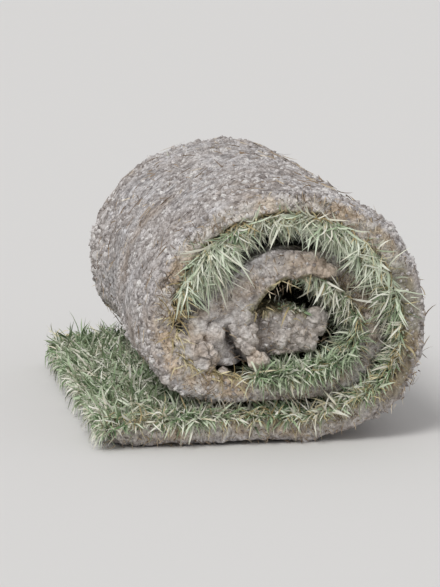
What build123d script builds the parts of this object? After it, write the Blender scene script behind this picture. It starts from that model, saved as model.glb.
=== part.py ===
from build123d import *
import os
from math import copysign, cos, hypot, radians, sin

# A strip of turf, cut from a lawn and rolled up with its grass inside. The roll lies on its side on the
# floor: its length runs along Y, its turns show on both ends, and Z is up. Sizes are in millimetres.

# The strip
strip_width = 400.0       # width the turf was cut to, and so the length of the roll
sod_thickness = 25.0      # soil and roots, from the cut underside to the foot of the grass
pressed_grass = 8.0       # grass squeezed flat between two turns
loose_grass = 27.0        # grass under the crown of the outer turn, where the core has sunk away from it

# The roll as it lies, sagged under its own weight
roll_width = 236.0        # across the outer turn
roll_height = 214.0       # from the floor to the crown
belly_height = 99.0       # height at which every turn is widest
sag_fullness = 2.5        # roundness below the belly: 2 is an ellipse, and more is fuller at the lower sides
flat_reach = 34.0         # how far the flat underside runs past the middle before it lifts off the floor
lift_turn = 0.12          # share of the first turn after which the underside is clear of the floor
free_end_reach = 36.0     # the outer free end, lying out on the floor past the side of the roll
free_end_round = 9.0      # torn corners of the free end
notch_turn = 0.93         # share of a turn at which the second pass presses down on the first

# The middle
inner_fold = 58.0         # the inner end, folded over double at the start of the rolling
fold_grip = 12.0          # how far the tongue of the inner end runs on inside that fold
tongue_headroom = 17.0    # open height left between the tongue and the crown of the hollow
tongue_side_room = 14.0   # open width left between the tongue and the far side of the hollow
hollow_crown = 0.84       # radius of the hollow's upper corners, as a share of half its width
hollow_heel = 0.28        # radius of its lower corners, as a share of half its width
hollow_side = 0.1         # least share of the hollow's height that stays straight between those corners

# The ends, where the strip was not rolled up quite in line
gap_depth = 45.0          # how deep the gap between the turns is open, before its grass is packed tight
last_gap_turn = 0.97      # share of a turn at which the gap runs out into the hollow
setback = 16.0            # how far the inner turn's far side and the tongue stand back
setback_from = 1.07       # turn count at which the inner turn steps back
setback_to = 1.42         # turn count at which it comes out again, in the arch over the tongue

# Each turn lies inside the one before it by the sod and the grass between them.
side_pitch = sod_thickness + pressed_grass
crown_pitch = sod_thickness + loose_grass
first_half_width = (roll_width + side_pitch) / 2
first_rise = roll_height + crown_pitch / 2 - belly_height
free_end_tip = -(first_half_width - side_pitch * 0.75) - free_end_reach
points_a_turn = 16


def on_turn(turn, inset=0.0):
    """Point on the soil side after this many turns from the floor, or that far inside the sod."""
    across = cos(radians(360.0 * turn - 90.0))
    up = sin(radians(360.0 * turn - 90.0))
    half_width = first_half_width - side_pitch * turn - inset
    if up >= 0.0:
        return (half_width * across, belly_height + (first_rise - crown_pitch * turn - inset) * up)
    power = 2.0 / sag_fullness
    across = copysign(abs(across) ** power, across)
    low = belly_height - side_pitch * turn - inset
    return (half_width * across, belly_height - low * abs(up) ** power)


def run_of(first, last, inset=0.0):
    """Points along the spiral between two turn counts."""
    count = max(2, round((last - first) * points_a_turn))
    return [on_turn(first + (last - first) * step / count, inset) for step in range(count + 1)]


def heading(turn, inset=0.0):
    """Direction of the spiral at a turn count."""
    step = 1.0 / (points_a_turn * points_a_turn)
    (x0, z0), (x1, z1) = on_turn(turn - step, inset), on_turn(turn, inset)
    return ((x1 - x0) / hypot(x1 - x0, z1 - z0), (z1 - z0) / hypot(x1 - x0, z1 - z0))


def arch(left, right, floor, top):
    """Arched opening between four limits, rounder at its crown than at its heel."""
    opening = Rectangle(right - left, top - floor)
    height_for_corners = (top - floor) * (1.0 - hollow_side) / (hollow_crown + hollow_heel)
    full_round = min((right - left) / 2, height_for_corners)
    opening = fillet(opening.vertices().group_by(Axis.Y)[-1], full_round * hollow_crown)
    opening = fillet(opening.vertices().group_by(Axis.Y)[0], full_round * hollow_heel)
    return Pos((left + right) / 2, (floor + top) / 2) * opening


# Outline of the section: the free end flat on the floor, then the outer turn up the far side, over the crown
# and down to the notch, where it comes in over the free end.
notch_x, notch_z = on_turn(notch_turn)
outer_turn = Spline(
    (flat_reach, 0.0), *run_of(lift_turn, notch_turn),
    tangents=[(1.0, 0.0), heading(notch_turn)], tangent_scalars=[1.0, 1.0],
)
lower_edges = Polyline(
    (notch_x, notch_z),
    (notch_x, sod_thickness),
    (free_end_tip, sod_thickness),
    (free_end_tip, 0.0),
    (flat_reach, 0.0),
)
outline = make_face(outer_turn.edges() + lower_edges.edges())
outline = fillet(outline.vertices().group_by(Axis.X)[0], free_end_round)

# Hollow left in the middle, arched because the core has sunk. Its far side and crown are the grass of the
# second turn, which stands back at the ends, and its near side is the folded inner end. The last stretch of
# that end lies in it as a tongue, on the grass of the turn below, and leaves an arched opening over itself.
sod_right = on_turn(1.25, sod_thickness)[0]
sod_left = on_turn(1.75)[0] + inner_fold
sod_floor = on_turn(1.0)[1] + sod_thickness
sod_crown = on_turn(1.5)[1] - sod_thickness
hollow_mouth = arch(sod_left, sod_right, sod_floor, sod_crown)
hollow = arch(sod_left, sod_right - pressed_grass, sod_floor + pressed_grass, sod_crown - pressed_grass)
tongue = arch(
    sod_left - fold_grip,
    sod_right - pressed_grass - tongue_side_room,
    sod_floor - fold_grip,
    sod_crown - pressed_grass - tongue_headroom,
)

# Gap between the turns, as it shows on an end: from the notch, once round between the grass side of one turn
# and the soil side of the next, and out into the hollow under the folded inner end.
gap_outer = Spline(
    (flat_reach, sod_thickness), *run_of(lift_turn, last_gap_turn, sod_thickness),
    tangents=[(1.0, 0.0), heading(last_gap_turn, sod_thickness)], tangent_scalars=[1.0, 1.0],
)
gap_inner = Spline(*run_of(notch_turn, last_gap_turn + 1.0))
gap_start = Polyline((notch_x, notch_z), (notch_x, sod_thickness), (flat_reach, sod_thickness))
gap_end = Line(on_turn(last_gap_turn, sod_thickness), on_turn(last_gap_turn + 1.0))
turn_gap = make_face(gap_outer.edges() + gap_end.edges() + gap_inner.edges() + gap_start.edges())

# Far side of the inner turn, from the middle of the gap around it to the middle of the hollow's mouth.
into_gap = -pressed_grass / 2
into_mouth = sod_thickness + pressed_grass + tongue_side_room / 2
stepped_outer = Spline(*run_of(setback_from, setback_to, into_gap))
stepped_inner = Spline(*run_of(setback_from, setback_to, into_mouth))
step_in = Line(on_turn(setback_from, into_gap), on_turn(setback_from, into_mouth))
step_out = Line(on_turn(setback_to, into_gap), on_turn(setback_to, into_mouth))
far_side = make_face(stepped_outer.edges() + step_out.edges() + stepped_inner.edges() + step_in.edges())

# The roll: the section drawn out along Y, with the arched opening through it. The gap, the hollow's wider
# mouth and the stepped-back parts are cut into both ends.
roll = extrude(Plane.XZ * outline, amount=strip_width / 2, both=True)
roll -= extrude(Plane.XZ * (hollow - tongue), amount=strip_width, both=True)
for end in (-1.0, 1.0):
    end_plane = Plane.XZ.offset(-end * strip_width / 2)
    roll -= extrude(end_plane * turn_gap, amount=end * gap_depth)
    roll -= extrude(end_plane * (hollow_mouth - tongue), amount=end * gap_depth)
    roll -= extrude(end_plane * (hollow_mouth & tongue), amount=end * setback)
    roll -= extrude(end_plane * far_side, amount=end * setback)

# The middle of the box around the roll, on the floor, is the origin.
box = roll.bounding_box()
roll = roll.moved(Location((-box.center().X, -box.center().Y, -box.min.Z)))

os.makedirs("parts", exist_ok=True)
export_step(roll, "parts/turf_roll.step")
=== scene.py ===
# %% [markdown]
# # A roll of turf
#
# A strip of lawn is cut with its roots and about 25 mm of soil, and rolled up with the grass inside. What we
# see is the cut underside all round, two cut ends on which the turns of the strip show as a spiral of soil and
# grass, and the outer free end, which lies on the floor with its grass up.
#
# This lesson makes the strip flat, as it was cut, and rolls it up afterwards. The grass, straw, roots and
# crumbs are then grown on the rolled strip. The frame that is loaded first holds the plain solid of the roll:
# it gives the size and place of everything, and the strip made here stands in for it.

# %% Load the frame
import bpy
import math
import numpy as np
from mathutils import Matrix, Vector, noise
from mathutils.bvhtree import BVHTree


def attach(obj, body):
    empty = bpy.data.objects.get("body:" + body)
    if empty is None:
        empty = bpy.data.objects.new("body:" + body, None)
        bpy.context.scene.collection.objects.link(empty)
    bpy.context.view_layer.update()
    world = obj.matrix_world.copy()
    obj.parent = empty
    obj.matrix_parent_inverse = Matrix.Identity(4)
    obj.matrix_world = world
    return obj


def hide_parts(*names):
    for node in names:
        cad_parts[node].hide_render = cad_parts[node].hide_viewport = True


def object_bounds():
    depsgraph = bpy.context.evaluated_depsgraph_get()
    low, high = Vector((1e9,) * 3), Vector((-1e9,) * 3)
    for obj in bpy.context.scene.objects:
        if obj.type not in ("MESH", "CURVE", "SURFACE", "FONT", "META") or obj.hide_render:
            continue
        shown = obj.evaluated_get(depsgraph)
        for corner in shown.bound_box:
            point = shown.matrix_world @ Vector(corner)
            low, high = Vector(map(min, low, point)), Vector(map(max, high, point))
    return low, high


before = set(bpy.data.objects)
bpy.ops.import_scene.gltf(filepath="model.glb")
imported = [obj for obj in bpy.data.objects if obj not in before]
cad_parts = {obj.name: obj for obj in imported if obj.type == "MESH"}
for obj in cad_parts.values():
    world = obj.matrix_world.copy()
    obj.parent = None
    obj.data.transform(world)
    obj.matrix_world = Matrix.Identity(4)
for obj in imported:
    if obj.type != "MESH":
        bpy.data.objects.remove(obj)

cad_low, cad_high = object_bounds()
MM = 0.001
print("box of the plain roll in mm:", [round((b - a) / MM, 1) for a, b in zip(cad_low, cad_high)])

# %% [markdown]
# ## The spiral that the strip follows
#
# A turf roll sags under its own weight. Above its belly each turn is half an ellipse, and below it is fuller,
# because the turf settles onto the floor. Every turn lies inside the one before, by the soil and the grass
# between them. The same measures shape the plain solid, so the strip that is rolled along them stays in it.
#
# The inner end was folded over when the rolling began. That fold is a thick, crumpled wad on the left, and the
# last stretch lies in the middle of the roll as a tongue, under an arch of the turn above.

# %% Measures of the roll, in mm
strip_width = 400.0
sod_thickness = 25.0
pressed_grass = 8.0
loose_grass = 27.0
roll_width = 236.0
roll_height = 214.0
belly_height = 99.0
sag_fullness = 2.5
free_end_reach = 36.0

side_pitch = sod_thickness + pressed_grass
crown_pitch = sod_thickness + loose_grass
first_half_width = (roll_width + side_pitch) / 2
first_rise = roll_height + crown_pitch / 2 - belly_height
free_end_tip = -(first_half_width - side_pitch * 0.75) - free_end_reach
sideways = cad_low.x / MM - free_end_tip


def on_turn(turn, inset=0.0):
    """Point on the soil side after this many turns from the floor, or that far inside the sod."""
    across = math.cos(math.radians(360.0 * turn - 90.0))
    up = math.sin(math.radians(360.0 * turn - 90.0))
    half_width = first_half_width - side_pitch * turn - inset
    if up >= 0.0:
        return (half_width * across, belly_height + (first_rise - crown_pitch * turn - inset) * up)
    power = 2.0 / sag_fullness
    low = belly_height - side_pitch * turn - inset
    return (half_width * math.copysign(abs(across) ** power, across), belly_height - low * abs(up) ** power)


# %% Where the soil side and the grass side run, station by station
# Each station is a turn count, a point on the soil side and the point across from it on the grass side. The
# flat stretch on the floor comes first, then the spiral, with a station every 0.04 of a turn.
flat_count, flat_step, flat_start, turn_a_step = 12, 16.0, -0.5, 0.036
stations = []
for k in range(flat_count):
    x = free_end_tip + flat_step * k
    stations.append((flat_start + turn_a_step * k, (x, 0.0), (x, sod_thickness)))
stations += [(t, on_turn(t), on_turn(t, sod_thickness)) for t in np.arange(0.12, 1.48, 0.04)]
# The arch over the tongue, the wad of the fold on the left, and the tongue itself.
stations += [
    (1.50, (2, 163), (6, 133)),
    (1.54, (-17, 159), (-2, 128)),
    (1.58, (-34, 148), (-9, 122)),
    (1.62, (-48, 136), (-13, 117)),
    (1.66, (-64, 127), (-16, 114)),
    (1.70, (-77, 114), (-17, 112)),
    (1.75, (-81, 98), (-17, 111)),
    (1.80, (-77, 82), (-16, 111)),
    (1.85, (-66, 69), (-13, 112)),
    (1.90, (-48, 62), (-8, 113)),
    (1.94, (-30, 63), (-2, 113)),
    (1.97, (-14, 67), (4, 113)),
    (2.00, (2, 70), (12, 112)),
    (2.03, (18, 72), (22, 110)),
    (2.06, (32, 74), (32, 106)),
    (2.08, (41, 77), (40, 100)),
]


def smooth_through(points, count):
    """Catmull-Rom curve through a row of points, as count steps for each of its spans."""
    points = np.array(points, float)
    ends = np.vstack([2 * points[0] - points[1], points, 2 * points[-1] - points[-2]])
    step = np.linspace(0.0, 1.0, count, endpoint=False)[:, None]
    rows = []
    for a, b, c, d in zip(ends, ends[1:], ends[2:], ends[3:]):
        rows.append(0.5 * (2 * b + (c - a) * step + (2 * a - 5 * b + 4 * c - d) * step ** 2
                           + (3 * b - a - 3 * c + d) * step ** 3))
    return np.vstack(rows + [points[-1:]])


route = smooth_through([(turn, *soil, *grass) for turn, soil, grass in stations], count=12)
route_turn, soil_line, grass_line = route[:, 0], route[:, 1:3], route[:, 3:5]
middle = (soil_line + grass_line) / 2
route_length = np.concatenate([[0.0], np.cumsum(np.linalg.norm(np.diff(middle, axis=0), axis=1))])
strip_length = route_length[-1]
print("length of the strip in mm:", round(strip_length))


# %% [markdown]
# ## Where the ends stand back
#
# A strip never rolls up with its edges quite in line. The outer turn is the proudest. On its right, the second
# turn stands back, and the grass of the outer turn hangs down in front of it. The tongue stands back furthest.

# %% Standing back, and how the strip is laid in space
def stand_back(turn):
    """How far the cut edge stands back from the end of the roll, in mm."""
    return np.interp(
        turn,
        [-0.5, -0.1, 0.1, 0.9, 1.05, 1.16, 1.39, 1.435, 1.6, 1.75, 1.86, 2.08],
        [3.0, 2.0, 0.5, 0.5, 7.0, 16.0, 17.0, 2.0, 2.0, 3.0, 4.0, 4.0],
    )


wad_turn = 1.72
tongue_foot, tongue_step_width, tongue_step_depth = -21.0, 9.0, 10.0
crease_at, crease_half_width, crease_depth = -15.0, 4.0, 6.0


def tongue_back(turn, across):
    """How much further the tongue stands back than the wad it comes out of, with a crease between them."""
    step = np.clip((across - tongue_foot) / tongue_step_width, 0.0, 1.0)
    crease = crease_depth * np.exp(-((across - crease_at) / crease_half_width) ** 2)
    return np.where(turn > wad_turn, tongue_step_depth * step * step * (3.0 - 2.0 * step) + crease, 0.0)


# The folded end is cracked from the left band down to the tongue. These two points give the line of the crack.
crack_top, crack_foot = np.array([-47.0, 101.0]), np.array([-20.0, 53.0])
crack_length, crack_half_width, crack_depth = 60.0, 3.6, 20.0
crack_way = (crack_foot - crack_top) / np.linalg.norm(crack_foot - crack_top)
crack_right = np.array([-crack_way[1], crack_way[0]])


def from_crack(across, up):
    """Distance to the right of the crack's line, and distance down it from its top, in mm."""
    off = np.stack([across - crack_top[0], up - crack_top[1]], -1)
    return off @ crack_right, off @ crack_way


def along_route(lengths):
    """Turn count, soil point, grass point and direction out through the soil, at lengths along the strip."""
    turn = np.interp(lengths, route_length, route_turn)
    soil = np.stack([np.interp(lengths, route_length, soil_line[:, k]) for k in (0, 1)], 1)
    grass = np.stack([np.interp(lengths, route_length, grass_line[:, k]) for k in (0, 1)], 1)
    out = soil - grass
    return turn, soil, grass, out / np.linalg.norm(out, axis=1)[:, None]


def length_at_turn(turn):
    return np.interp(turn, route_turn, route_length)


def features(points, size, seed, octaves=1):
    """Noise from about -1 to 1 at points in mm, with features of the given size in mm."""
    shift = Vector((seed * 17.31, seed * 5.17, seed * 9.73))
    return np.array([noise.fractal(Vector(p) / size + shift, 1.0, 2.0, octaves) for p in points.tolist()])


def clods(points, size, seed):
    """Rounded lumps of the given size in mm: 1 in the middle of a lump and 0 in the crease around it."""
    shift = Vector((seed * 11.7, seed * 3.1, seed * 7.9))
    rows = [noise.voronoi(Vector(p) / size + shift)[0] for p in points.tolist()]
    near = np.array([[row[0], row[1]] for row in rows])
    return np.clip((near[:, 1] - near[:, 0]) * 1.6, 0.0, 1.0)


# %% [markdown]
# ## The flat strip
#
# The strip starts as a flat grid, which is the cut underside, and is drawn up through the soil in thin steps
# with the extrude tool. That gives a closed slab whose walls have rows of faces of their own, so the cut edges
# can be roughened as finely as the underside. A cube with a subdivision would put as many faces in its walls
# as on its underside, and a cloth or a plane with thickness added later would have smooth walls.

# %% Cut the strip
columns, rows, layers = 480, 150, 14


def nothing_selected():
    if bpy.context.mode != "OBJECT":
        bpy.ops.object.mode_set(mode="OBJECT")
    bpy.ops.object.select_all(action="DESELECT")


nothing_selected()
bpy.ops.mesh.primitive_grid_add(x_subdivisions=columns, y_subdivisions=rows, size=1.0)
turf_strip = bpy.context.object
turf_strip.name = turf_strip.data.name = "turf_strip"
bpy.ops.object.mode_set(mode="EDIT")
bpy.ops.transform.resize(value=(strip_length * MM, strip_width * MM, 1.0))
bpy.ops.transform.translate(value=(strip_length * MM / 2, 0.0, 0.0))
for layer in range(layers):
    bpy.ops.mesh.extrude_region_move(TRANSFORM_OT_translate={"value": (0.0, 0.0, sod_thickness * MM / layers)})
nothing_selected()
print("flat strip:", len(turf_strip.data.vertices), "points,", len(turf_strip.data.polygons), "faces")

# %% [markdown]
# ## Rough soil, then the rolling
#
# Dry loam breaks into crumbs, and a turf cutter's blade leaves it in shallow ripples across the strip. The cut
# edges crumble and round off at their rims. Several sizes of noise, laid over each other, give this: broad
# waves, creases, clods of 21 mm, crumbs of 11 mm and grit. The noise is read on the flat strip, so it runs on
# round the roll without a seam, and each point is then moved to its place on the spiral.

# %% Read the flat strip
flat = np.empty(len(turf_strip.data.vertices) * 3)
turf_strip.data.vertices.foreach_get("co", flat)
flat = flat.reshape(-1, 3) / MM
run = flat[:, 0]
side = np.sign(flat[:, 1])
edge_share = np.abs(flat[:, 1]) / (strip_width / 2)
depth = np.clip(flat[:, 2] / sod_thickness, 0.0, 1.0)
# Rows are crowded towards the ends of the roll, where they show most.
edge_share = edge_share * (1.22 - 0.22 * edge_share ** 2)
turn, soil_point, grass_point, soil_out = along_route(run)
place = np.stack([run, side * edge_share * strip_width / 2, flat[:, 2]], 1)

# %% Broad waves, clods and grit
# Size of each kind of relief along the strip, and how high or deep it is, in mm.
wave_size, wave_height = 110.0, 7.0
fold_size, fold_depth = 34.0, 1.5
clod_size, clod_height = 21.0, 1.8
crumb_relief_size, grit_size, grit_height = 11.0, 4.5, 0.9
ripple_length, ripple_height = 31.0, 0.35
crumbly_patch = 60.0
deepest, highest = -9.0, 4.5

near_end = edge_share > 0.97
on_end_face = edge_share > 0.9999
waves = features(place * (1.0, 0.8, 1.0), wave_size, 1, 2)
folds = 1.0 - np.minimum(np.abs(features(place * (1.0, 0.7, 1.0), fold_size, 17, 2)) * 3.0, 1.0)
lumps = clods(place * (1.0, 0.8, 1.0) + 5.0 * features(place, 15.0, 2, 2)[:, None], clod_size, 3)
crumbs_relief = features(place, crumb_relief_size, 5, 3)
grit = features(place, grit_size, 6, 2)
crumbly = np.clip(0.45 + features(place, crumbly_patch, 7, 2), 0.1, 1.0)
ripples = np.sin(run * 2 * np.pi / ripple_length + 1.6 * features(place, 90.0, 8)) * (turn < 1.0)
relief = (wave_height * waves - fold_depth * folds * (0.3 + crumbly) + crumbly * clod_height * (lumps - 0.6)
          + (0.5 + crumbly) * crumbs_relief + grit_height * grit + ripple_height * ripples)
print("relief of the soil side in mm:", round(float(relief.min()), 1), "to", round(float(relief.max()), 1))

# %% Roll it up
lift = np.clip(relief, deepest, highest)
wad = np.interp(turn, [1.5, 1.6, 1.75, 1.9, 1.98], [0.0, 0.6, 1.0, 0.8, 0.0])
soil_weight = (1.0 - depth) ** 2
grass_weight = depth ** 2
section = soil_point + (grass_point - soil_point) * depth[:, None]
section = section + soil_out * (soil_weight * lift * (1.0 + wad) - grass_weight * 0.8 * lift)[:, None]

# The rims crumble away, most at the cut underside, and in bites.
bites = np.clip(features(place * (1.0, 0.0, 1.0) + side[:, None] * 40.0, 26.0, 9, 3) - 0.05, 0.0, 1.0)
rim = np.maximum(1.0 - depth * 3.4, 0.0) + 0.6 * np.maximum(depth * 5.0 - 4.0, 0.0)
edge_wave = features(np.stack([run, side * 50.0, depth * 0.0], 1), 75.0, 10, 2)


def on_face(apart):
    """Each point as seen on its end of the roll, with the two ends apart in the noise."""
    return np.stack([section[:, 0], side * apart, section[:, 1]], 1)


face_clods = clods(on_face(30.0) + 2.5 * features(on_face(1.0), 8.0, 11)[:, None], 10.0, 12)
face_lumps = clods(on_face(30.0) + 3.0 * features(on_face(1.0), 12.0, 16)[:, None], 20.0, 13)
face_grit = features(on_face(20.0), 5.0, 14, 2)
rim_loss, bite_depth = 2.2, 9.0
worn_back = (stand_back(turn) + tongue_back(turn, section[:, 0]) + 2.8 + 3.6 * edge_wave
             + rim * (rim_loss + bite_depth * bites) + 3.2 * (0.6 - face_clods) - 1.8 * face_grit
             + wad * 10.0 * (0.7 - face_lumps))

# The crack in the wad fades out over 10 mm at its top and at its foot.
beside_crack, down_crack = from_crack(section[:, 0], section[:, 1])
crack = np.exp(-(beside_crack / crack_half_width) ** 2) * np.clip(down_crack / 10.0, 0.0, 1.0)
crack = crack * np.clip((crack_length - down_crack) / 10.0, 0.0, 1.0) * (turn > 1.55)
worn_back = np.maximum(worn_back + crack_depth * crack, 0.0)
reach = strip_width / 2 - worn_back * np.clip((edge_share - 0.72) / 0.28, 0.0, 1.0) ** 1.5
end_y = side * edge_share * reach

# The torn free end and the tip of the tongue.
tear = features(np.stack([place[:, 1], depth * 20.0, run * 0.0], 1), 34.0, 15, 3)
from_tip = np.clip(1.0 - run / 40.0, 0.0, 1.0)
from_tongue_tip = np.clip(1.0 - (strip_length - run) / 30.0, 0.0, 1.0)
section[:, 0] += from_tip * (7.0 + 9.0 * tear + 4.0 * (1.0 - depth) * from_tip)
section[:, 0] -= from_tongue_tip * (4.0 + 4.0 * tear)
section[:, 1] -= np.where(turn < 0.0, from_tip * depth * 7.0 * from_tip, 0.0)
section[:, 1] = np.maximum(section[:, 1], np.where(depth < 0.02, 0.0, 0.5))
rolled = np.stack([section[:, 0] + sideways, end_y, section[:, 1]], 1)
turf_strip.data.vertices.foreach_set("co", (rolled * MM).ravel())
turf_strip.data.update()
turn_of_point, out_of_point = turn, soil_out
print("rolled strip in mm:", rolled.min(0).round(1), rolled.max(0).round(1))

# %% Keep what the soil's material needs to know at each point
def keep_on_points(piece, name, values):
    """Stores one number for each point of a piece, which its material can read."""
    layer = piece.data.attributes.new(name, "FLOAT", "POINT")
    layer.data.foreach_set("value", np.asarray(values, np.float32))


# How far a point stands out of what is around it: 0 and less in a crease, and 0.5 and more on a crumb.
# These numbers paint shade into the soil's colour: creases, the crack and the tongue, which stands back, come
# out darker. In the creases this is partly damper soil too.
relief_shade_at_end = (0.28 + 0.5 * face_clods + 0.5 * face_lumps - 1.2 * crack
                 - 0.045 * tongue_back(turn, section[:, 0]))
relief_shade_on_side = 0.25 + 0.35 * lumps + 0.7 * crumbs_relief + 0.4 * grit - 0.25 * folds
keep_on_points(turf_strip, "depth", depth)
keep_on_points(turf_strip, "cut_edge", on_end_face * np.interp(turn, [1.0, 1.3], [1.0, 0.45]))
keep_on_points(turf_strip, "relief_shade", np.where(near_end, relief_shade_at_end, relief_shade_on_side))

# %% [markdown]
# ## Fewer faces where nothing shows
#
# Between the turns the strip is out of sight, except near the ends. Those faces are selected by their place
# and thinned with the decimate tool, which leaves the rest as it is.

# %% Thin the hidden faces
def select_faces(piece, chosen):
    """Selects only the faces of a piece whose flag is set."""
    nothing_selected()
    bpy.context.view_layer.objects.active = piece
    piece.select_set(True)
    data = piece.data
    data.vertices.foreach_set("select", np.zeros(len(data.vertices), bool))
    data.edges.foreach_set("select", np.zeros(len(data.edges), bool))
    data.polygons.foreach_set("select", np.asarray(chosen, bool))


def face_means(piece, values):
    """Mean over each face of a number given for each point, for a piece of four-sided faces."""
    corners = np.empty(len(piece.data.polygons) * 4, int)
    piece.data.polygons.foreach_get("vertices", corners)
    return np.asarray(values)[corners.reshape(-1, 4)].mean(1)


hidden_behind, share_kept = 146.0, 0.07
face_turn, face_depth, face_y = (face_means(turf_strip, v) for v in (turn, depth, np.abs(end_y)))
inside = (face_depth > 0.98) & (face_turn > -0.25) | (face_depth < 0.02) & (face_turn > 0.97)
under = (face_depth < 0.02) & (face_turn < 0.05)
select_faces(turf_strip, (inside | under) & (face_y < hidden_behind))
bpy.ops.object.mode_set(mode="EDIT")
bpy.ops.mesh.select_mode(type="FACE")
bpy.ops.mesh.decimate(ratio=share_kept)
bpy.ops.mesh.quads_convert_to_tris()
nothing_selected()
for vertex in turf_strip.data.vertices:
    vertex.co.z = max(vertex.co.z, 0.0)
bpy.context.view_layer.objects.active = turf_strip
turf_strip.select_set(True)
bpy.ops.object.shade_smooth()
print("strip after thinning:", len(turf_strip.data.polygons), "faces")

# %% [markdown]
# ## Colours and the node helper
#
# Colours are written as they look on a screen and turned to the linear values that Blender mixes. One helper
# adds a node with its settings and links, so a material reads as a list of what is laid over what.

# %% Colour and node helpers
def linear(code):
    """Screen colour such as 8a7d6d as a linear colour."""
    channels = [int(code[k:k + 2], 16) / 255.0 for k in (0, 2, 4)]
    return tuple(c / 12.92 if c <= 0.04045 else ((c + 0.055) / 1.055) ** 2.4 for c in channels) + (1.0,)


def add_node(tree, kind, sockets=None, stops=None, **settings):
    """Adds a node: settings are its own choices, sockets its inputs, each a value or an output to link."""
    node = tree.nodes.new(kind)
    for name, value in settings.items():
        setattr(node, name, value)
    if stops:
        ramp = node.color_ramp
        while len(ramp.elements) < len(stops):
            ramp.elements.new(0.5)
        for element, (position, colour) in zip(ramp.elements, stops):
            element.position = position
            element.color = linear(colour) if isinstance(colour, str) else (colour, colour, colour, 1.0)
    for key, value in (sockets or {}).items():
        if isinstance(value, bpy.types.NodeSocket):
            tree.links.new(value, node.inputs[key])
        else:
            node.inputs[key].default_value = value
    return node


def new_material(name):
    material = bpy.data.materials.new(name)
    material.use_nodes = True
    tree = material.node_tree
    tree.nodes.clear()
    shader = add_node(tree, "ShaderNodeBsdfPrincipled")
    out = add_node(tree, "ShaderNodeOutputMaterial", {"Surface": shader.outputs["BSDF"]})
    out.is_active_output = True
    return material, tree, shader


def dress(piece, material):
    piece.data.materials.clear()
    piece.data.materials.append(material)


# %% [markdown]
# ## Dry loam, cut sod edge and thatch
#
# The underside is loam that has dried grey: pale on its crumbs and darker and browner in the creases, where the
# darkening is partly damper soil and partly painted shade. The cut edge shows more: a dry rim, then a mat of
# fine roots, orange-brown in patches, and next to the grass a layer of thatch, the old straw at the foot of the
# blades.
# All three are one material, because they pass into each other, and the numbers kept on the points say where
# each one is and how much shade is painted in.

# %% Make the soil's material
def mixed(tree, share, first, second, blend="MIX"):
    made = add_node(tree, "ShaderNodeMix", {"Factor": share, 6: first, 7: second}, data_type="RGBA",
                    blend_type=blend)
    return made.outputs[2]


def pattern(tree, where, size, detail=2.0, roughness=0.55, distortion=0.0):
    """Noise whose features have the given size in mm."""
    made = add_node(tree, "ShaderNodeTexNoise", {
        "Vector": where, "Scale": 1.0 / (size * MM), "Detail": detail, "Roughness": roughness,
        "Distortion": distortion})
    return made.outputs["Fac"]


def ramp(tree, value, *stops):
    return add_node(tree, "ShaderNodeValToRGB", {"Fac": value}, stops=stops).outputs["Color"]


def calculated(tree, operation, first, second):
    return add_node(tree, "ShaderNodeMath", {0: first, 1: second}, operation=operation).outputs["Value"]


def vector_calculated(tree, operation, first, second):
    return add_node(tree, "ShaderNodeVectorMath", {0: first, 1: second}, operation=operation).outputs["Vector"]


soil_material, tree, shader = new_material("dry_loam_with_root_mat")
place_in = add_node(tree, "ShaderNodeTexCoord").outputs["Object"]
where = vector_calculated(tree, "MULTIPLY", place_in, (1.0, 0.8, 1.0))
depth_in = add_node(tree, "ShaderNodeAttribute", attribute_name="depth").outputs["Fac"]
edge_in = add_node(tree, "ShaderNodeAttribute", attribute_name="cut_edge").outputs["Fac"]
relief_shade_in = add_node(tree, "ShaderNodeAttribute", attribute_name="relief_shade").outputs["Fac"]

broad = pattern(tree, where, 48.0, 3.0)
wide = pattern(tree, where, 130.0, 2.0)
mottle = pattern(tree, where, 11.0, 3.0, 0.6)
grain = pattern(tree, where, 2.6, 3.0, 0.65)
shaking = add_node(tree, "ShaderNodeTexNoise", {"Vector": where, "Scale": 1.0 / (5.0 * MM), "Detail": 3.0})
shaken = vector_calculated(tree, "MULTIPLY", shaking.outputs["Color"], (3.6 * MM,) * 3)
scattered = vector_calculated(tree, "ADD", where, shaken)
cells = add_node(tree, "ShaderNodeTexVoronoi", {"Vector": scattered, "Scale": 1.0 / (3.4 * MM)})
aggregates = add_node(tree, "ShaderNodeTexVoronoi", {"Vector": scattered, "Scale": 1.0 / (9.0 * MM)})
fissures = add_node(tree, "ShaderNodeTexVoronoi", {
    "Vector": scattered, "Scale": 1.0 / (19.0 * MM)}, feature="DISTANCE_TO_EDGE").outputs["Distance"]

# Dry loam: grey with a little mauve, from damp brown in the creases to nearly white on dry crumbs.
loam = ramp(tree, mottle, (0.28, "cdc7c5"), (0.44, "e2dddb"), (0.60, "eeebea"), (0.76, "faf8f7"))
loam = mixed(tree, ramp(tree, broad, (0.42, 0.0), (0.64, 0.75)), loam, linear("cfc0b2"))
loam = mixed(tree, ramp(tree, wide, (0.42, 0.55), (0.56, 0.0)), loam, linear("f2f2f5"))
crumb_tone = ramp(tree, add_node(tree, "ShaderNodeSeparateColor", {
    "Color": cells.outputs["Color"]}).outputs["Red"], (0.0, "8a8583"), (0.35, "d6d3d1"), (1.0, "ffffff"))
loam = mixed(tree, 0.8, loam, crumb_tone, "MULTIPLY")

# Root mat of the cut edge: pale brown, with orange-brown patches where fine roots hold clay.
patches = ramp(tree, pattern(tree, where, 36.0, 2.0), (0.50, 0.0), (0.60, 1.0))
root_mat = ramp(tree, mottle, (0.30, "d3cbc2"), (0.46, "eae3db"), (0.62, "f5f0ea"), (0.8, "fdfaf6"))
orange = ramp(tree, mottle, (0.30, "d6b997"), (0.55, "efd3b1"), (0.75, "f8e7cd"))
root_mat = mixed(tree, calculated(tree, "MULTIPLY", patches, 0.65), root_mat, orange)
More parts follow.
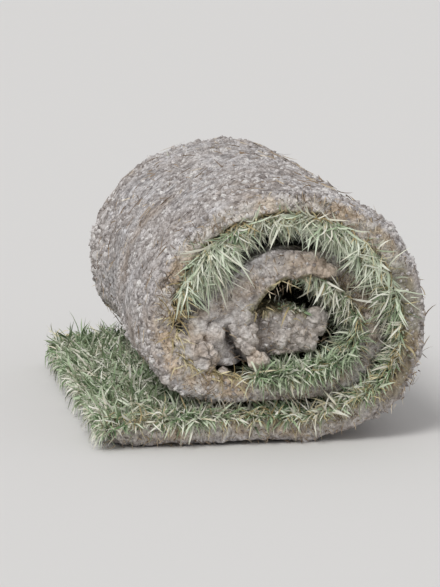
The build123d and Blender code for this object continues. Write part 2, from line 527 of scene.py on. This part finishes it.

# On the right the cut edge is darker and olive: partly olive thatch and roots, partly a painted shadow.
right_share = calculated(tree, "MULTIPLY", add_node(tree, "ShaderNodeSeparateXYZ", {
    "Vector": place_in}).outputs["X"], 2.0 / (roll_width * MM))
olive_thatch_and_painted_shadow = calculated(tree, "MULTIPLY", ramp(tree, right_share, (0.70, 0.0), (0.98, 0.8)),
                  ramp(tree, broad, (0.35, 0.6), (0.55, 1.0)))
root_mat = mixed(tree, olive_thatch_and_painted_shadow, root_mat, linear("8d8972"))

# Thatch: straw and old stems at the foot of the grass.
thatch = ramp(tree, grain, (0.30, "6d6751"), (0.5, "9c9678"), (0.7, "c9c3a3"))

# The layers of the cut edge wander up and down a little.
wander = calculated(tree, "SUBTRACT", calculated(tree, "MULTIPLY", mottle, 0.5), 0.25)
depth_seen = calculated(tree, "ADD", depth_in, wander)
edge_mask = calculated(tree, "MULTIPLY", ramp(tree, depth_seen, (0.10, 0.0), (0.36, 1.0)), edge_in)
thatch_mask = ramp(tree, depth_seen, (0.84, 0.0), (0.96, 1.0))
soil_colour = mixed(tree, edge_mask, loam, root_mat)
soil_colour = mixed(tree, thatch_mask, soil_colour, thatch)
# Painted shade: creases and recessed spots are darkened by how little they stand out, partly also damper soil.
painted_crease_shade = ramp(tree, relief_shade_in, (0.0, "7b736e"), (0.28, "dedad7"), (0.5, "ffffff"))
soil_colour = mixed(tree, 0.45, soil_colour, painted_crease_shade, "MULTIPLY")
fine = ramp(tree, grain, (0.30, "8b8580"), (0.46, "e6e3e0"), (0.65, "ffffff"))
soil_colour = mixed(tree, 0.45, soil_colour, fine, "MULTIPLY")

# Grit and broken straw: pale specks a millimetre or two across.
specks = add_node(tree, "ShaderNodeTexVoronoi", {"Vector": scattered, "Scale": 1.0 / (8.0 * MM)})
speck_mask = ramp(tree, specks.outputs["Distance"], (0.09, 0.8), (0.15, 0.0))
speck_on = ramp(tree, add_node(tree, "ShaderNodeSeparateColor", {
    "Color": specks.outputs["Color"]}).outputs["Green"], (0.90, 0.0), (0.92, 1.0))
soil_colour = mixed(tree, calculated(tree, "MULTIPLY", speck_mask, speck_on), soil_colour, linear("d3ccbd"))

# Fissures run between the larger crumbs, and are dark because no light gets into them.
torn = ramp(tree, pattern(tree, where, 34.0, 2.0), (0.60, 0.0), (0.70, 1.0))
fissure_mask = calculated(tree, "MULTIPLY", ramp(tree, fissures, (0.0, 1.0), (0.055, 0.0)), torn)
soil_colour = mixed(tree, calculated(tree, "MULTIPLY", fissure_mask, 0.75), soil_colour, linear("4a423b"))
# Painted shade in the gaps between the small crumbs, where the bump also sinks.
painted_gap_shade = ramp(tree, cells.outputs["Distance"], (0.45, 0.0), (0.85, 1.0))
soil_colour = mixed(tree, calculated(tree, "MULTIPLY", painted_gap_shade, 0.34), soil_colour, linear("6b615a"))

height = calculated(tree, "ADD", calculated(tree, "MULTIPLY", mottle, 1.6), grain)
height = calculated(tree, "SUBTRACT", height, calculated(tree, "MULTIPLY", cells.outputs["Distance"], 0.8))
height = calculated(tree, "SUBTRACT", height, calculated(tree, "MULTIPLY", aggregates.outputs["Distance"], 1.0))
height = calculated(tree, "SUBTRACT", height, calculated(tree, "MULTIPLY", fissure_mask, 1.2))
bump = add_node(tree, "ShaderNodeBump", {"Height": height, "Strength": 1.0, "Distance": 2.0 * MM})
tree.links.new(soil_colour, shader.inputs["Base Color"])
tree.links.new(bump.outputs["Normal"], shader.inputs["Normal"])
shader.inputs["Roughness"].default_value = 0.95
shader.inputs["Specular IOR Level"].default_value = 0.2
dress(turf_strip, soil_material)

# %% [markdown]
# ## Blades of grass
#
# A blade is a thin ribbon that leaves the soil in some direction, bends under its own weight and ends in a
# point. Thousands of them share one mesh for each bed of grass, worked out as arrays, because each differs in
# length, width, bend and colour, which copies of one blade would not. Roots, straw and blades are all made by
# the same few lines, with other measures.

# %% Ribbons that bend under their weight
def unit(vectors):
    return vectors / np.maximum(np.linalg.norm(vectors, axis=1), 1e-9)[:, None]


# How far a ribbon may reach past the plain roll's box, in mm: to the sides, out of the ends, and up.
past_sides, past_ends, past_top = 12.0, 17.0, 10.0
keep_low = np.array(cad_low) / MM - (past_sides, past_ends, 0.0)
keep_high = np.array(cad_high) / MM + (past_sides, past_ends, past_top)


def grow(name, draw, feet, aims, lengths, widths, droop, swirl, joints, tones, taper=(0.7, 1.0, 0.95, 0.7)):
    """Mesh of ribbons from their feet, all in mm. joints is the number of bends, tones a colour for each."""
    count = len(feet)
    heading, sidestep = unit(aims), unit(np.cross(aims, draw.normal(size=(count, 3))))
    flat_way = unit(np.cross(heading, draw.normal(size=(count, 3))))
    spot, rings = feet.copy(), []
    margin = draw.uniform(0.0, 10.0, (count, 1))
    lowest, highest = keep_low + margin * (1.0, 1.0, 0.0) + (0.0, 0.0, 0.6), keep_high - margin
    widths_along = np.interp(np.linspace(0, 1, joints + 1), np.linspace(0, 1, len(taper) + 1), (*taper, 0.0))
    for joint in range(joints + 1):
        share = joint / joints
        spread = flat_way - heading * (flat_way * heading).sum(1)[:, None]
        half = unit(spread) * (widths * widths_along[joint] / 2)[:, None]
        rings.append((spot - half, spot + half) if joint < joints else (spot,))
        heading = unit(heading + np.array([0.0, 0.0, -1.0]) * (droop / joints)[:, None]
                       + sidestep * (swirl / joints)[:, None])
        spot = spot + heading * (lengths / joints)[:, None]
        spot = np.clip(spot, lowest, highest)
    points = np.concatenate([np.stack(ring, 1) for ring in rings], 1)
    points[:, :, 2] = np.maximum(points[:, :, 2], 0.3)
    each = points.shape[1]
    first = (np.arange(count) * each)[:, None]
    quads = np.concatenate([first + np.array([[2 * j, 2 * j + 1, 2 * j + 3, 2 * j + 2]])
                            for j in range(joints - 1)])
    tips = first + np.array([[2 * joints - 2, 2 * joints - 1, 2 * joints]])
    data = bpy.data.meshes.new(name)
    data.from_pydata((points.reshape(-1, 3) * MM).tolist(), [], quads.tolist() + tips.tolist())
    piece = bpy.data.objects.new(name, data)
    bpy.context.scene.collection.objects.link(piece)
    keep_on_points(piece, "tone", np.repeat(tones, each))
    along = np.concatenate([np.repeat(np.arange(joints) / joints, 2), [1.0]])
    keep_on_points(piece, "along", np.tile(along, count))
    data.polygons.foreach_set("use_smooth", np.ones(len(data.polygons), bool))
    print(name, count, "ribbons,", count * (2 * joints - 1), "triangles")
    return piece


def join_pieces(name, parts):
    nothing_selected()
    for part in parts:
        part.select_set(True)
    bpy.context.view_layer.objects.active = parts[0]
    bpy.ops.object.join()
    made = bpy.context.object
    made.name = made.data.name = name
    return made


# %% Feet on the grass side of the strip
blade_joints = 4


def feet_on_grass(draw, count, turns, from_end, end):
    """Feet spread over a run of turns near one end, with the direction the grass grows in there."""
    first, last = length_at_turn(turns[0]), length_at_turn(turns[1])
    run = draw.uniform(first, last, count)
    turn, soil, grass, out = along_route(run)
    back = stand_back(turn) + tongue_back(turn, grass[:, 0]) + draw.uniform(*from_end, count)
    y = end * (strip_width / 2 - back)
    feet = np.stack([grass[:, 0] + sideways, y, grass[:, 1]], 1)
    feet[:, 0] += out[:, 0] * 2.0
    feet[:, 2] += out[:, 1] * 2.0
    grow_way = np.stack([-out[:, 0], np.zeros(count), -out[:, 1]], 1)
    return feet, grow_way, turn


def bed(name, seed, count, turns, end, reach, lengths, lean_out, droop, straw):
    """One bed of grass near an end. Noise makes neighbours lean alike and turn to straw together."""
    draw = np.random.default_rng(seed)
    feet, grow_way, turn = feet_on_grass(draw, count, turns, reach, end)
    round_way = np.stack([grow_way[:, 2], np.zeros(count), -grow_way[:, 0]], 1)
    lean = draw.uniform(*lean_out, count) * (0.65 + 0.9 * features(feet, 42.0, seed + 50))
    aims = unit(grow_way) + np.array([0.0, end, 0.0]) * lean[:, None]
    aims = aims + round_way * (2.2 * features(feet, 15.0, seed, 2))[:, None]
    aims = aims + draw.normal(scale=0.75, size=(count, 3))
    shown = (aims * grow_way).sum(1)
    aims = aims + grow_way * np.maximum(0.1 - shown, 0.0)[:, None]
    dead = straw + 0.7 * features(feet, 34.0, seed + 31)
    tones = np.where(draw.random(count) < dead, draw.uniform(0.72, 1.0, count), draw.uniform(0.0, 0.7, count))
    sizes = lengths[0] + (lengths[1] - lengths[0]) * draw.random(count) ** 1.4
    return grow(name, draw, feet, aims, sizes, draw.uniform(0.8, 2.1, count),
                draw.uniform(*droop, count), draw.normal(scale=1.9, size=count), blade_joints, tones)


# %% Grass on both ends
# Each bed: its name and seed, the number of blades, the run of turns it grows on, how far behind the end it
# reaches, the blades' lengths, how far they lean out and droop, and the share of straw.
beds_of_an_end = [
    ("crown", 0, 2000, (0.40, 0.60), (-1, 44), (12, 34), (-0.1, 0.6), (-0.3, 1.6), 0.5),
    ("left_top", 1, 1800, (0.56, 0.69), (-1, 36), (12, 34), (0.0, 0.7), (0.0, 1.8), 0.32),
    ("tuft", 9, 260, (0.585, 0.64), (-1, 16), (30, 54), (0.3, 0.8), (1.2, 2.4), 0.30),
    ("right_top", 2, 1600, (0.27, 0.44), (-1, 34), (12, 40), (-0.1, 0.6), (0.0, 2.0), 0.3),
    ("right", 3, 1000, (0.10, 0.29), (-1, 26), (8, 24), (0.0, 0.6), (0.2, 1.6), 0.30),
    ("left_low", 4, 40, (0.74, 0.90), (2, 20), (6, 12), (0.1, 0.7), (0.4, 1.4), 0.5),
    ("inner", 11, 500, (1.22, 1.43), (0, 56), (10, 24), (-0.2, 0.5), (0.4, 1.6), 0.2),
    ("bottom", 5, 2300, (-0.40, 0.12), (-1, 26), (8, 26), (0.2, 1.2), (0.5, 2.1), 0.42),
    ("floor", 6, 2400, (0.97, 1.20), (-2, 26), (12, 28), (0.4, 1.4), (0.8, 2.2), 0.24),
    ("far_side", 7, 1000, (1.18, 1.40), (-2, 28), (12, 30), (0.0, 0.8), (0.8, 2.2), 0.25),
    ("arch_top", 8, 60, (1.40, 1.46), (6, 30), (6, 12), (-0.2, 0.3), (0.4, 1.4), 0.3),
    ("tongue_top", 10, 160, (1.97, 2.06), (4, 34), (4, 9), (-0.2, 0.2), (0.4, 1.0), 0.3),
]


def end_grass(name, end, seed):
    return join_pieces(name, [bed(bed_name, seed + own, count, turns, end, *measures)
                              for bed_name, own, count, turns, *measures in beds_of_an_end])


grass_front = end_grass("grass_front_end", -1.0, 20)
grass_back = end_grass("grass_back_end", 1.0, 60)


# %% Grass on the free end
def spread(name, seed, count, lengths, straw, clump_size, clumps, lie, droop, width):
    """Grass on the free end: blades in clumps that share a lean, or scattered if the clumps are wide."""
    draw = np.random.default_rng(seed)
    middle_x = draw.uniform(free_end_tip + 3.0, free_end_tip + 78.0, clumps)
    middle_y = draw.uniform(-strip_width / 2 + 2.0, strip_width / 2 - 2.0, clumps)
    lean = draw.normal(scale=0.8, size=(clumps, 2))
    clump = draw.integers(0, clumps, count)
    off = draw.normal(scale=clump_size, size=(count, 2))
    x = np.clip(middle_x[clump] + off[:, 0], free_end_tip + 3.0, free_end_tip + 80.0)
    y = np.clip(middle_y[clump] + off[:, 1], -strip_width / 2 + 2.0, strip_width / 2 - 2.0)
    drop = np.clip(1.0 - (x - free_end_tip) / 40.0, 0.0, 1.0) ** 2 * 7.0
    feet = np.stack([x + sideways, y, sod_thickness - 2.0 - drop], 1)
    aims = np.column_stack([lean[clump] + off / (clump_size * 1.6) + (-0.3, 0.0), np.full(count, lie)])
    aims = aims + draw.normal(scale=0.35, size=(count, 3))
    sizes = lengths[0] + (lengths[1] - lengths[0]) * draw.random(count) ** 1.3
    dead = straw + 0.5 * features(feet, 40.0, seed + 3)
    tones = np.where(draw.random(count) < dead, draw.uniform(0.72, 1.0, count), draw.uniform(0.0, 0.7, count))
    return grow(name, draw, feet, aims, sizes, draw.uniform(*width, count), draw.uniform(*droop, count),
                draw.normal(scale=1.6, size=count), blade_joints, tones)


grass_free_end = join_pieces("grass_free_end", [
    spread("mat", 101, 8000, (6.0, 16.0), 0.5, 30.0, 400, 0.15, (0.2, 1.0), (0.8, 1.8)),
    spread("clumps", 102, 7000, (12.0, 32.0), 0.2, 5.0, 330, 0.9, (0.6, 2.6), (0.9, 2.2)),
    spread("strays", 103, 900, (18.0, 36.0), 0.5, 30.0, 300, 0.35, (0.6, 1.8), (0.8, 1.9)),
])

# %% [markdown]
# ## The finish of grass
#
# Grass that has been rolled up for days is dull: grey-green, with blades that have gone yellow or to straw.
# Each blade has a tone of its own, which picks its colour, and it turns a little yellower towards its tip. Near
# the crown a painted highlight, laid in patches, makes the grass paler there than down at the floor.

# %% Make the grass's material
grass_material, tree, shader = new_material("rolled_grass_and_straw")
tone = add_node(tree, "ShaderNodeAttribute", attribute_name="tone").outputs["Fac"]
along = add_node(tree, "ShaderNodeAttribute", attribute_name="along").outputs["Fac"]
where = add_node(tree, "ShaderNodeTexCoord").outputs["Object"]
blade = ramp(tree, tone, (0.0, "4a5f43"), (0.16, "6f8a60"), (0.36, "a4ba92"), (0.56, "d8e4c9"),
             (0.72, "e3e1d2"), (0.86, "f3f1e6"), (1.0, "d5ccb2"))
foot = mixed(tree, ramp(tree, along, (0.0, 0.5), (0.3, 0.0)), blade, linear("7f7d60"))
tip = mixed(tree, ramp(tree, along, (0.6, 0.0), (1.0, 0.4)), foot, linear("dcd9c4"))
dull = mixed(tree, ramp(tree, pattern(tree, where, 22.0), (0.4, 0.0), (0.7, 0.3)), tip, linear("969280"))
# Painted highlight: towards the top of the roll the grass is mixed, in patches, with a near-white green.
height_share = calculated(tree, "MULTIPLY", add_node(tree, "ShaderNodeSeparateXYZ", {
    "Vector": where}).outputs["Z"], 1.0 / (roll_height * MM))
top_light_patches = ramp(tree, pattern(tree, where, 42.0), (0.44, 0.15), (0.60, 1.0))
painted_top_light_share = calculated(tree, "MULTIPLY", ramp(tree, height_share, (0.30, 0.0), (0.72, 0.62)), top_light_patches)
grass_with_painted_top_light = mixed(tree, painted_top_light_share, dull, linear("ecf3e0"))
tree.links.new(grass_with_painted_top_light, shader.inputs["Base Color"])
shader.inputs["Roughness"].default_value = 0.6
shader.inputs["Specular IOR Level"].default_value = 0.35
for piece in (grass_front, grass_back, grass_free_end):
    dress(piece, grass_material)

# %% [markdown]
# ## Roots and straw on the cut edges
#
# A cut edge is fuzzy: broken roots and bits of straw stick out of it. They are ribbons too, thinner and shorter
# than grass, and stand out from the cut face instead of from the grass side.

# %% Roots out of the cut edges and the underside
def edge_fibres(name, seed, count, end, depths, lengths, widths, tones, droop=(0.2, 1.4),
                barer=0.5):
    draw = np.random.default_rng(seed)
    run = draw.uniform(0.0, strip_length, count)
    bare = np.interp(run, route_length, route_turn) > 1.40
    run = np.where(bare & (draw.random(count) < barer), draw.uniform(0.0, length_at_turn(1.38), count), run)
    turn, soil, grass, out = along_route(run)
    share = draw.uniform(*depths, count)[:, None]
    spot = soil + (grass - soil) * share
    y = end * (strip_width / 2 - stand_back(turn) - tongue_back(turn, spot[:, 0]) - 4.5)
    feet = np.stack([spot[:, 0] + sideways, y, spot[:, 1]], 1)
    aims = draw.normal(scale=0.8, size=(count, 3)) + np.array([0.0, end * 0.9, 0.0])
    aims = aims - np.stack([out[:, 0], np.zeros(count), out[:, 1]], 1) * 0.5
    return grow(name, draw, feet, aims, draw.uniform(*lengths, count), draw.uniform(*widths, count),
                draw.uniform(*droop, count), draw.normal(scale=1.2, size=count), 3,
                draw.uniform(*tones, count), (1.0, 0.9, 0.7))


def root_threads(name, seed, count):
    """Broken roots that lie on the underside of the outer turn."""
    draw = np.random.default_rng(seed)
    run = draw.uniform(length_at_turn(0.06), length_at_turn(0.92), count)
    turn, soil, grass, out = along_route(run)
    y = draw.uniform(-strip_width / 2 + 6.0, strip_width / 2 - 6.0, count)
    feet = np.stack([soil[:, 0] + sideways, y, soil[:, 1]], 1)
    normal = np.stack([out[:, 0], np.zeros(count), out[:, 1]], 1)
    lying = unit(np.cross(normal, draw.normal(size=(count, 3))))
    return grow(name, draw, feet + normal * 0.8, lying + normal * draw.uniform(-0.05, 0.15, count)[:, None],
                draw.uniform(6.0, 18.0, count), draw.uniform(0.5, 1.1, count), draw.uniform(-0.1, 0.4, count),
                draw.normal(scale=0.5, size=count), 4, draw.uniform(0.0, 1.0, count), (1.0, 0.9, 0.8, 0.6))


roots = join_pieces("root_fibres", [
    edge_fibres("front_roots", 201, 2600, -1.0, (0.1, 1.0), (4, 11), (0.5, 0.9), (0.0, 1.0)),
    edge_fibres("back_roots", 202, 2200, 1.0, (0.1, 1.0), (4, 11), (0.5, 0.9), (0.0, 1.0)),
    root_threads("underside_roots", 203, 650),
])
straw = join_pieces("thatch_straw", [
    edge_fibres("front_straw", 211, 1000, -1.0, (0.75, 1.1), (8, 24), (0.8, 1.7), (0.0, 1.0), (0.2, 1.6), 0.9),
    edge_fibres("back_straw", 212, 900, 1.0, (0.75, 1.1), (8, 24), (0.8, 1.7), (0.0, 1.0), (0.2, 1.6), 0.9),
])

# %% Finishes of roots and straw
def dress_in_fibre(piece, name, roughness, *stops):
    """Gives a piece a dull fibre, whose colour each ribbon's tone picks from the stops."""
    material, tree, shader = new_material(name)
    tone = add_node(tree, "ShaderNodeAttribute", attribute_name="tone").outputs["Fac"]
    tree.links.new(ramp(tree, tone, *stops), shader.inputs["Base Color"])
    shader.inputs["Roughness"].default_value = roughness
    dress(piece, material)


dress_in_fibre(roots, "broken_root_fibre", 0.8,
               (0.0, "64523f"), (0.45, "957f66"), (0.8, "bfae94"), (1.0, "dccfb8"))
dress_in_fibre(straw, "dead_grass_straw", 0.55,
               (0.0, "917f58"), (0.4, "bdac80"), (0.75, "dbcfa6"), (1.0, "ebe2c2"))

# %% [markdown]
# ## Crumbs and lumps
#
# The underside is as granular as a crumbled biscuit: crumbs of two to eight millimetres stand half out of it.
# One is modelled from an icosphere, and thousands of copies are set on the strip's own surface, each turned,
# sized and pulled out of round by itself, and sunk in so that none floats. Bump alone would leave the outline
# smooth.
#
# Where the fold was crumpled, the sod has broken into lumps as large as hazelnuts, with dark cracks between
# them. They are made from a finer icosphere, which noise dents.

# %% One crumb and one lump, of radius 1
def round_shape(steps, squash):
    """Points and faces of an icosphere that is squashed in X, Y and Z."""
    nothing_selected()
    bpy.ops.mesh.primitive_ico_sphere_add(subdivisions=steps, radius=1.0)
    made = bpy.context.object
    bpy.ops.object.mode_set(mode="EDIT")
    bpy.ops.transform.resize(value=squash)
    bpy.ops.object.mode_set(mode="OBJECT")
    points = np.array([v.co[:] for v in made.data.vertices])
    faces = np.array([p.vertices[:] for p in made.data.polygons])
    bpy.data.objects.remove(made)
    return points, faces


crumb_shape, crumb_faces = round_shape(1, (1.0, 0.85, 0.7))
lump_shape, lump_faces = round_shape(3, (1.0, 0.7, 0.9))


def any_turns(draw, count):
    """Random rotations, as one matrix each."""
    first = unit(draw.normal(size=(count, 3)))
    second = unit(np.cross(first, draw.normal(size=(count, 3))))
    return np.stack([first, second, np.cross(first, second)], 1)


def shells(name, points, faces, material):
    """One mesh of many closed shells, of points in mm with a shell to each row."""
    shell_count, each = points.shape[:2]
    corners = (np.arange(shell_count)[:, None, None] * each + faces[None]).reshape(-1, 3)
    data = bpy.data.meshes.new(name)
    data.from_pydata((points.reshape(-1, 3) * MM).tolist(), [], corners.tolist())
    data.polygons.foreach_set("use_smooth", np.ones(len(corners), bool))
    data.materials.append(material)
    piece = bpy.data.objects.new(name, data)
    bpy.context.scene.collection.objects.link(piece)
    print(name, shell_count, "shells,", len(corners), "triangles")
    return piece


# %% Crumbs on the underside and the cut edges
draw = np.random.default_rng(301)
on_underside = np.flatnonzero((depth < 0.01) & (turn_of_point > 0.06) & (turn_of_point < 0.95))
on_edges = np.flatnonzero(on_end_face & (depth > 0.05) & (depth < 0.9))
likely = crumbly[on_underside] ** 1.5
picked = np.concatenate([draw.choice(on_underside, 7600, p=likely / likely.sum()), draw.choice(on_edges, 1900)])
crumb_count = len(picked)
at_edge = on_end_face[picked]
outwards = np.stack([out_of_point[picked, 0], np.zeros(crumb_count), out_of_point[picked, 1]], 1)
outwards[at_edge] = np.stack([np.zeros(crumb_count), side[picked], np.zeros(crumb_count)], 1)[at_edge]
edge_size, side_size = 0.6 + 2.0 * draw.random(crumb_count) ** 2, 0.9 + 3.4 * draw.random(crumb_count) ** 2
crumb_size = np.where(at_edge, edge_size, side_size)
shuffle = draw.normal(scale=1.3, size=(crumb_count, 3))
shuffle = shuffle - outwards * (shuffle * outwards).sum(1)[:, None]
surface = BVHTree.FromObject(turf_strip, bpy.context.evaluated_depsgraph_get())
beds = np.array([surface.find_nearest(Vector(spot))[0][:] for spot in (rolled[picked] + shuffle) * MM]) / MM
centres = beds - outwards * (0.25 * crumb_size)[:, None]
bumpy = crumb_shape[None] * (1.0 + 0.22 * draw.normal(size=(crumb_count, len(crumb_shape), 1)))
bumpy = np.einsum("nij,njk->nik", bumpy, any_turns(draw, crumb_count)) * crumb_size[:, None, None]
crumb_points = centres[:, None] + bumpy
crumb_points[:, :, 2] = np.maximum(crumb_points[:, :, 2], 0.1)
crumb_material, tree, shader = new_material("dry_loam_crumb")
tone = add_node(tree, "ShaderNodeAttribute", attribute_name="tone").outputs["Fac"]
where = add_node(tree, "ShaderNodeTexCoord").outputs["Object"]
crumb_colour = ramp(tree, tone, (0.0, "9a928e"), (0.4, "c2bbb7"), (0.8, "dfdad8"), (1.0, "f1eeea"))
crumb_grain = pattern(tree, where, 1.8, 3.0, 0.65)
crumb_shade = ramp(tree, crumb_grain, (0.3, "8a847e"), (0.6, "ffffff"))
crumb_colour = mixed(tree, 0.7, crumb_colour, crumb_shade, "MULTIPLY")
tree.links.new(crumb_colour, shader.inputs["Base Color"])
crumb_bump = add_node(tree, "ShaderNodeBump", {"Height": crumb_grain, "Strength": 1.0, "Distance": 0.9 * MM})
tree.links.new(crumb_bump.outputs["Normal"], shader.inputs["Normal"])
shader.inputs["Roughness"].default_value = 0.95
shader.inputs["Specular IOR Level"].default_value = 0.2
crumbs = shells("loose_crumbs", crumb_points, crumb_faces, crumb_material)
keep_on_points(crumbs, "tone", np.repeat(draw.random(crumb_count), len(crumb_shape)))


# %% Lumps of the crumpled fold, on both ends
def lumps_in(draw, end, across, up, half_across, half_up, count, sizes, sunk):
    """Lumps strewn over an oval of the end face, in mm; sunk is how far their middles lie behind its edge."""
    angle, share = draw.uniform(0, 2 * np.pi, count), np.sqrt(draw.random(count))
    x, z = across + half_across * share * np.cos(angle), up + half_up * share * np.sin(angle)
    size = draw.uniform(*sizes, count)
    beside, down = from_crack(x, z)
    # Lumps that would fill the crack move to its nearer side.
    short = np.maximum(0.85 * size + 1.5 - np.abs(beside), 0.0)
    room = np.where(beside > 0.0, 1.0, -1.0) * short * (down > -6.0)
    x, z = x + room * crack_right[0], z + room * crack_right[1]
    turned = np.einsum("ij,njk->nik", lump_shape, any_turns(draw, count)) * (1.0, 0.8, 1.0)
    dents = features((turned * 1.3 + draw.uniform(0, 90, (count, 1, 3))).reshape(-1, 3), 1.0, 31, 3)
    made = turned * (1.0 + 0.28 * dents.reshape(count, -1, 1)) * size[:, None, None]
    middle = np.stack([x + sideways, end * (strip_width / 2 - sunk - 0.3 * size), z], 1)
    return made + middle[:, None], dents


# Each oval: its middle across and up, half its width and height, the number of lumps, their sizes, and how far
# they lie behind the end. The first five are the wad, then the tip of the arch, and the tongue.
ovals = (
    (-66, 88, 15, 26, 17, (6, 11), 5),
    (-90, 84, 7, 34, 14, (5, 8), 6),
    (-28, 92, 8, 16, 8, (5, 8), 8),
    (-14, 66, 9, 9, 6, (6, 9), 9),
    (-50, 55, 20, 6, 6, (5, 8), 8),
    (38, 147, 9, 5, 4, (6, 8), 8),
    (20, 93, 30, 11, 9, (7, 11), 20),
)
lump_rows, relief_shade_rows = [], []
for end, seed in ((-1.0, 401), (1.0, 402)):
    draw = np.random.default_rng(seed)
    for oval in ovals:
        made, dents = lumps_in(draw, end, *oval)
        lump_rows.append(made)
        # Painted shade: lumps set further back, and the rear sides of each lump, get lower numbers and come out
        # darker.
        forward = end * (made[:, :, 1] - made[:, :, 1].mean(1)[:, None])
        relief_shade_rows.append(0.26 - 0.018 * oval[-1] + 0.06 * forward.ravel() + 0.7 * dents)
lumps_of_fold = shells("lumps_of_the_fold", np.concatenate(lump_rows), lump_faces, soil_material)
relief_shade = np.concatenate(relief_shade_rows)
keep_on_points(lumps_of_fold, "depth", np.full(len(relief_shade), 0.35))
keep_on_points(lumps_of_fold, "cut_edge", np.full(len(relief_shade), 0.6))
keep_on_points(lumps_of_fold, "relief_shade", relief_shade)

# %% [markdown]
# ## What rides on the frame
#
# Nothing on the roll moves, so every piece rides on its one body. The strip stands in for the plain solid.

# %% Tell the frame
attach(turf_strip, "root")
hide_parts("turf_roll")
for piece, slot in ((crumbs, "soil"), (lumps_of_fold, "soil"), (roots, "soil"), (straw, "grass"),
                    (grass_front, "grass"), (grass_back, "grass"), (grass_free_end, "grass")):
    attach(piece, "root")

# %% [markdown]
# ## Floor, light and camera
#
# A pale floor that runs to the horizon, a soft sky and one broad light from the front left show the relief
# without hard shadows. The camera looks at the wound end from a little above and to the left.

# %% Floor
nothing_selected()
bpy.ops.mesh.primitive_circle_add(vertices=96, radius=40.0, fill_type="NGON")
floor = bpy.context.object
floor.name = "floor"
floor_material, tree, shader = new_material("pale_matt_floor")
shader.inputs["Base Color"].default_value = linear("dcdad7")
shader.inputs["Roughness"].default_value = 0.9
shader.inputs["Specular IOR Level"].default_value = 0.1
floor.data.materials.append(floor_material)

# %% Light
world = bpy.data.worlds.new("soft_sky")
bpy.context.scene.world = world
world.use_nodes = True
world.node_tree.nodes.clear()
rays = add_node(world.node_tree, "ShaderNodeLightPath")
sky = add_node(world.node_tree, "ShaderNodeBackground", {"Color": linear("f6f7fa"), "Strength": 0.62})
backdrop = add_node(world.node_tree, "ShaderNodeBackground", {"Color": linear("d7d6d5"), "Strength": 1.0})
shown = add_node(world.node_tree, "ShaderNodeMixShader", {
    0: rays.outputs["Is Camera Ray"], 1: sky.outputs[0], 2: backdrop.outputs[0]})
add_node(world.node_tree, "ShaderNodeOutputWorld", {"Surface": shown.outputs[0]})
sun = bpy.data.lights.new("broad_light", "SUN")
sun.energy = 1.6
sun.angle = math.radians(24.0)
lamp = bpy.data.objects.new("broad_light", sun)
bpy.context.scene.collection.objects.link(lamp)
light_way = Vector((0.55, 0.75, -1.1))
lamp.rotation_euler = light_way.to_track_quat("-Z", "Y").to_euler()

# %% Camera
azimuth, elevation, distance = math.radians(-9.0), math.radians(9.0), 2.6
aim = Vector((-0.013, -0.03, 0.101))
back = Vector((math.sin(azimuth) * math.cos(elevation), -math.cos(azimuth) * math.cos(elevation),
               math.sin(elevation)))
camera = bpy.data.objects.new("camera", bpy.data.cameras.new("camera"))
bpy.context.scene.collection.objects.link(camera)
camera.location = aim + back * distance
camera.rotation_euler = (-back).to_track_quat("-Z", "Y").to_euler()
camera.data.lens = 182.0
bpy.context.scene.camera = camera
bpy.context.scene.view_settings.view_transform = "Standard"
